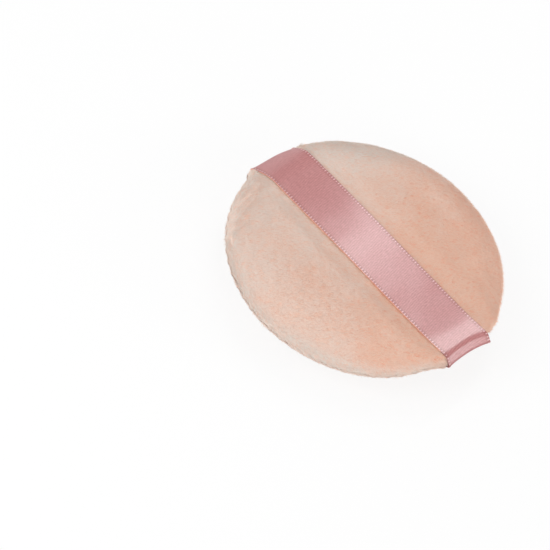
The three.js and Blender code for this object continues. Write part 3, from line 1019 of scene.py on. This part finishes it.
# The ribbon's course from tail to tail: (x, z) along its middle, its edge at -Y and its edge at +Y
RIBBON_COURSE = [
    ((-33.5, 0.6), (-34.5, 0.5), (-34.5, 0.5)),
    ((-38.6, 0.9), (-38.9, 0.7), (-38.7, 0.9)),
    ((-40.0, 1.3), (-40.4, 1.2), (-39.6, 1.3)),
    ((-40.1, 2.3), (-40.4, 1.9), (-39.6, 2.1)),
    ((-39.0, 3.4), (-38.7, 3.05), (-38.7, 2.95)),
    ((-36.6, 4.5), (-36.2, 4.35), (-36.6, 4.6)),
    ((-33.0, 5.35), (-32.6, 5.4), (-34.0, 5.6)),
    ((-27.0, 5.5), (-27.0, 5.42), (-27.0, 5.78)),
    ((-20.0, 5.6), (-20.0, 5.46), (-20.0, 5.86)),
    ((-12.0, 5.7), (-12.0, 5.53), (-12.0, 5.87)),
    ((-5.0, 5.71), (-5.0, 5.57), (-5.0, 5.8)),
    ((0.0, 5.65), (0.0, 5.55), (0.0, 5.74)),
    ((7.0, 5.48), (7.0, 5.43), (7.0, 5.6)),
    ((14.0, 5.33), (14.0, 5.26), (14.0, 5.45)),
    ((21.0, 5.21), (21.0, 5.14), (21.0, 5.33)),
    ((27.0, 5.15), (27.0, 5.15), (27.0, 5.27)),
    ((31.0, 5.15), (31.0, 5.17), (31.5, 5.3)),
    ((33.5, 5.19), (33.0, 5.23), (34.0, 5.38)),
    ((35.2, 5.28), (35.2, 5.36), (36.2, 5.52)),
    ((36.7, 5.38), (36.9, 5.47), (37.9, 5.63)),
    ((37.8, 5.45), (38.2, 5.55), (39.1, 5.71)),
    ((38.5, 5.46), (39.0, 5.54), (39.9, 5.71)),
    ((38.95, 5.36), (39.5, 5.41), (40.4, 5.58)),
    ((39.3, 5.12), (39.9, 5.13), (40.8, 5.31)),
    ((39.7, 4.72), (40.3, 4.73), (41.15, 4.96)),
    ((40.1, 4.31), (40.75, 4.28), (41.5, 4.61)),
    ((40.5, 3.91), (41.2, 3.83), (41.85, 4.26)),
    ((40.9, 3.5), (41.6, 3.43), (42.2, 3.9)),
    ((40.85, 2.9), (41.4, 2.95), (41.9, 3.3)),
    ((40.2, 2.65), (40.4, 2.4), (40.9, 2.6)),
    ((38.6, 2.45), (38.8, 1.95), (38.8, 1.95)),
    ((33.5, 1.6), (34.5, 1.3), (34.5, 1.3)),
]
OVER_BACK = slice(3, 23)  # stations that lie over the back
RIBBON_ARCH = 2.2  # how much the middle of the ribbon keeps its height towards the edges


def smooth_line(points):
    """A smooth curve through a few points."""
    points = np.array(points)
    ends = np.concatenate([[2 * points[0] - points[1]], points, [2 * points[-1] - points[-2]]])
    fine = []
    for before, a, b, after in zip(ends, ends[1:], ends[2:], ends[3:], strict=False):
        t = np.linspace(0, 1, LINE_STEPS, endpoint=False)[:, None]
        curve = 2 * a + (b - before) * t + (2 * before - 5 * a + 4 * b - after) * t**2
        fine.append((curve + (3 * a - before - 3 * b + after) * t**3) / 2)
    return np.concatenate([*fine, points[-1:]])


def half_line(number, end):
    """Even points on one of the ribbon's lines, from the puff's centre to a tail, and its length."""
    line = smooth_line([station[number] for station in RIBBON_COURSE])[::end]
    line = line[line[:, 0] * end >= 0]
    length = np.append(0, np.cumsum(np.linalg.norm(np.diff(line, axis=0), axis=1)))
    even = np.linspace(0, length[-1], RIBBON_ROWS + 1)
    return np.stack([np.interp(even, length, line[:, i]) for i in (0, 1)], axis=1), length[-1]


def ribbon_grid(end):
    """Middle surface of half the ribbon from the puff's centre to its tail, and the half's length."""
    middle, length = half_line(0, end)
    edges = [half_line(number, end)[0] for number in (1, 2)]
    across = np.linspace(-1, 1, RIBBON_COLUMNS + 1)
    edge = np.where(across[None, :, None] < 0, edges[0][:, None], edges[1][:, None])
    line = middle[:, None] + np.abs(across)[None, :, None] ** RIBBON_ARCH * (edge - middle[:, None])
    y = np.broadcast_to(across * RIBBON_WIDTH / 2, line.shape[:2])
    grid = np.stack([line[..., 0], y, line[..., 1]], axis=-1)
    ripple = waviness(grid.reshape(-1, 3), RIPPLE_LENGTH, RIPPLE_SEED).reshape(grid.shape[:2])
    grid[..., 2] += RIBBON_RIPPLE * ripple * smoothstep(grid[..., 2], *RIPPLE_ABOVE)
    return grid, length


def make_ribbon_half(name, end, material):
    """Half the ribbon as a thin closed sheet, mapped by length and width in millimetres for its weave."""
    grid, length = ribbon_grid(end)
    faces = grid_faces(RIBBON_ROWS, RIBBON_COLUMNS, flip=end < 0)
    half = make_piece(name, grid.reshape(-1, 3), faces, material)
    along = end * np.linspace(0, length, RIBBON_ROWS + 1)
    across = np.linspace(-RIBBON_WIDTH / 2, RIBBON_WIDTH / 2, RIBBON_COLUMNS + 1)
    place = np.stack(np.meshgrid(along, across, indexing="ij"), axis=-1).reshape(-1, 2)
    corners = np.array([loop.vertex_index for loop in half.data.loops])
    weave = half.data.uv_layers.new(name="weave")
    weave.uv.foreach_set("vector", place[corners].astype(np.float32).ravel())
    wall = half.modifiers.new("thickness", "SOLIDIFY")
    wall.thickness = RIBBON_THICKNESS * MM
    wall.offset = 0
    plain_mesh(half)
    half.data.set_sharp_from_angle(angle=RIBBON_CREASE)
    return half, grid, length


PICOT_PITCH = 0.92
PICOT_INSET = 0.4
PICOT_RISE = 0.1
PICOT_SLANT = 0.35
PICOT_SIZE = (0.4, 1.0, 0.34)  # along the edge, across it, and thick
PICOT_UNEVEN = (0.75, 1.1)  # shares of that size


def picot_tree(material):
    """A row of small woven loops along an edge line."""
    tree, given = new_tree("picot", Pitch="Float", Size="Vector")
    line = add_node(tree, "GeometryNodeMeshToCurve", {0: given.outputs["Geometry"]})
    places = add_node(
        tree,
        "GeometryNodeResampleCurve",
        {"Curve": line.outputs[0], "Length": given.outputs["Pitch"]},
        mode="LENGTH",
    )
    tangent = add_node(tree, "GeometryNodeInputTangent")
    turn = add_node(
        tree,
        "FunctionNodeAxesToRotation",
        {0: tangent.outputs[0], 1: stored(tree, "outward", "FLOAT_VECTOR")},
        primary_axis="X",
        secondary_axis="Y",
    )
    size = add_node(
        tree,
        "ShaderNodeVectorMath",
        {0: given.outputs["Size"], 3: chance(tree, *PICOT_UNEVEN, 1)},
        operation="SCALE",
    )
    loop = add_node(tree, "GeometryNodeMeshUVSphere", {"Segments": 6, "Rings": 4, "Radius": 0.5})
    loops = add_node(
        tree,
        "GeometryNodeInstanceOnPoints",
        {
            "Points": places.outputs[0],
            "Instance": loop.outputs[0],
            "Rotation": turn.outputs[0],
            "Scale": size.outputs[0],
        },
    )
    whole = add_node(tree, "GeometryNodeRealizeInstances", {0: loops.outputs[0]})
    smooth = add_node(tree, "GeometryNodeSetShadeSmooth", {0: whole.outputs[0]})
    coloured = add_node(tree, "GeometryNodeSetMaterial", {0: smooth.outputs[0], "Material": material})
    add_node(tree, "NodeGroupOutput", {0: coloured.outputs[0]})
    return tree


def make_picot(name, end, grid, tree):
    """The looped selvedges of half the ribbon."""
    mesh = bpy.data.meshes.new(name + "_line")
    sides = [0, -1]
    rows = grid[:, sides]
    along, across = np.gradient(grid, axis=(0, 1))
    upward = end * np.cross(along, across)[:, sides]
    upward /= np.linalg.norm(upward, axis=2, keepdims=True)
    along = end * along[:, sides] / np.linalg.norm(along[:, sides], axis=2, keepdims=True)
    outward = np.cross(along, upward) * np.array([1, -1])[:, None]
    rows = rows - PICOT_INSET * outward + PICOT_RISE * upward
    outward = outward + PICOT_SLANT * along
    points = rows.transpose(1, 0, 2).reshape(-1, 3)
    count = len(grid)
    edges = [(side * count + i, side * count + i + 1) for side in (0, 1) for i in range(count - 1)]
    mesh.from_pydata(((points + [0, 0, SEAM_HEIGHT]) * MM).tolist(), edges, [])
    name_values(mesh, "outward", outward.transpose(1, 0, 2).reshape(-1, 3))
    line = bpy.data.objects.new(mesh.name, mesh)
    bpy.context.scene.collection.objects.link(line)
    size = [s * MM for s in PICOT_SIZE]
    piece = grown(name, line, tree, {"Pitch": PICOT_PITCH * MM, "Size": size})
    bpy.data.objects.remove(line)
    bpy.data.meshes.remove(mesh)
    return piece


# Thread

MERGE_DISTANCE = 1e-6  # in metres: a CAD mesh is loose triangles, whose shared corners become one


def follow_seam(node, material):
    """A copy of a CAD thread, moved with the seam to where the ribbon has drawn it."""
    mesh = frame["nodes"][node].data.copy()
    shape = bmesh.new()
    shape.from_mesh(mesh)
    bmesh.ops.remove_doubles(shape, verts=shape.verts, dist=MERGE_DISTANCE)
    shape.to_mesh(mesh)
    shape.free()
    mesh.shade_smooth()
    points = np.empty(len(mesh.vertices) * 3)
    mesh.vertices.foreach_get("co", points)
    points = points.reshape(-1, 3) / MM - [0, 0, SEAM_HEIGHT]
    points = (settle(points) + [0, 0, SEAM_HEIGHT]) * MM
    mesh.vertices.foreach_set("co", points.ravel())
    mesh.materials.clear()
    mesh.materials.append(material)
    piece = bpy.data.objects.new("drawn_" + node, mesh)
    bpy.context.scene.collection.objects.link(piece)
    return piece


# Stage

SEAM_CENTRE = Vector((0, 0, SEAM_HEIGHT * MM))
CAMERA_AZIMUTH = math.radians(27.12)
CAMERA_ELEVATION = math.radians(48.87)
CAMERA_ROLL = math.radians(24.47)
CAMERA_DISTANCE = 0.8
IMAGE_SIZE = 550
FOCAL_PIXELS = 2851
SENSOR = 36.0
CENTRE_PIXEL = (364.5, 258.5)  # where the middle of the seam's plane lies in the picture


def place_camera():
    flat = math.cos(CAMERA_ELEVATION)
    back = Vector(
        (math.sin(CAMERA_AZIMUTH) * flat, -math.cos(CAMERA_AZIMUTH) * flat, math.sin(CAMERA_ELEVATION))
    )
    level = Vector((math.cos(CAMERA_AZIMUTH), math.sin(CAMERA_AZIMUTH), 0))
    upright = back.cross(level)
    right = math.cos(CAMERA_ROLL) * level + math.sin(CAMERA_ROLL) * upright
    up = back.cross(right)
    middle = IMAGE_SIZE / 2
    seen = Vector((CENTRE_PIXEL[0] - middle, middle - CENTRE_PIXEL[1], -FOCAL_PIXELS)).normalized()
    aside = Vector((0, 0, -1)).rotation_difference(seen).to_matrix()
    axes = aside @ Matrix((right, up, back))
    lens = bpy.data.cameras.new("camera")
    lens.sensor_width = SENSOR
    lens.lens = SENSOR * FOCAL_PIXELS / IMAGE_SIZE
    camera = bpy.data.objects.new("camera", lens)
    stand = Matrix.Translation(SEAM_CENTRE + CAMERA_DISTANCE * back)
    camera.matrix_world = stand @ axes.transposed().to_4x4()
    bpy.context.scene.collection.objects.link(camera)
    bpy.context.scene.camera = camera


AMBIENT = 0.45
# Lamps: direction from the puff, distance, size along X and across it in metres, light on a white sheet
LAMPS = {
    "key": ((-0.28, -0.77, 0.57), 0.65, (0.4, 0.4), 0.5),
    "fill": ((0.85, -0.4, 0.33), 0.9, (0.5, 0.5), 0.26),
    "strip": ((-0.285, 0.5, 0.82), 0.4, (0.03, 0.3), 0.2),
    "edge": ((0.75, 0.585, 0.3), 0.8, (0.2, 0.4), 0.22),
    "rear": ((-0.78, 0.585, 0.2), 0.8, (0.45, 0.4), 0.09),
}


def light_stage():
    for name, (way, distance, (width, height), level) in LAMPS.items():
        lamp = bpy.data.lights.new(name, "AREA")
        lamp.shape = "RECTANGLE"
        lamp.size = width
        lamp.size_y = height
        lamp.energy = level * math.pi**2 * distance**2
        holder = bpy.data.objects.new(name, lamp)
        towards = Vector(way).normalized()
        along_x = Vector((0, 1, 0)).cross(towards).normalized()
        axes = Matrix((along_x, towards.cross(along_x), towards)).transposed()
        holder.matrix_world = Matrix.Translation(SEAM_CENTRE + towards * distance) @ axes.to_4x4()
        holder.visible_camera = False
        bpy.context.scene.collection.objects.link(holder)


def seen_directly(tree):
    """1 for rays from the camera, and for those that mirror or pass the background on."""
    path = add_node(tree, "ShaderNodeLightPath").outputs
    total = calculated(tree, "ADD", path["Is Camera Ray"], path["Is Glossy Ray"])
    return calculated(tree, "ADD", total, path["Is Transmission Ray"], use_clamp=True)


def surround_stage():
    """A white surround that lights the puff softly."""
    world = bpy.data.worlds.new("studio")
    bpy.context.scene.world = world
    world.use_nodes = True
    tree = world.node_tree
    tree.nodes.clear()
    strength = add_node(
        tree,
        "ShaderNodeMix",
        {0: seen_directly(tree), 2: AMBIENT, 3: 1.0},
        data_type="FLOAT",
    )
    sky = add_node(tree, "ShaderNodeBackground", {0: linear("#FFFFFF"), 1: strength.outputs[0]})
    add_node(tree, "ShaderNodeOutputWorld", {0: sky.outputs[0]})


FLOOR_SIZE = 3.0
FLOOR_GLOW = 0.85  # share of plain white in what the camera sees of the floor; the rest keeps the shadow


def lay_floor():
    material, tree = new_material("studio_sweep")
    paper = add_node(tree, "ShaderNodeBsdfDiffuse", {0: linear("#FAFAFA")})
    white = add_node(tree, "ShaderNodeEmission", {0: linear("#FFFFFF"), 1: 1.0})
    share = calculated(tree, "MULTIPLY", seen_directly(tree), FLOOR_GLOW)
    both = add_node(
        tree,
        "ShaderNodeMixShader",
        {0: share, 1: paper.outputs[0], 2: white.outputs[0]},
    )
    add_node(tree, "ShaderNodeOutputMaterial", {0: both.outputs[0]})
    half = FLOOR_SIZE / 2 / MM
    corners = np.array([(-half, -half, 0), (half, -half, 0), (half, half, 0), (-half, half, 0)])
    floor = make_piece("floor", corners - [0, 0, SEAM_HEIGHT], [[0, 1, 2, 3]], material)


# Build

bpy.context.scene.view_settings.view_transform = "Standard"
place_camera()
light_stage()
surround_stage()
lay_floor()

finishes = {"pile": velour_pile(), "backing": velour_backing()}
covers = make_cover(finishes)
piles = make_pile(covers, finishes)
back_sheets(covers)
for side, sheet in covers.items():
    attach(sheet, "puff")
    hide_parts(side + "_panel")
for layer in piles:
    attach(layer, "puff")

foam = make_foam(cut_foam())
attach(foam, "puff")
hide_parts("foam_core")

ribbon_material = satin()
picot = picot_tree(picot_yarn())
for place, end in (("near", 1), ("far", -1)):
    half, surface, half_length = make_ribbon_half("ribbon_" + place, end, ribbon_material)
    selvedge = make_picot("picot_" + place, end, surface, picot)
    for piece in (half, selvedge):
        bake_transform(piece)
    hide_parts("ribbon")

thread = sewing_thread()
for node in ("needle_thread", "bobbin_thread", "closing_thread"):
    stitches = follow_seam(node, thread)
    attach(stitches, "puff")
    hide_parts(node)
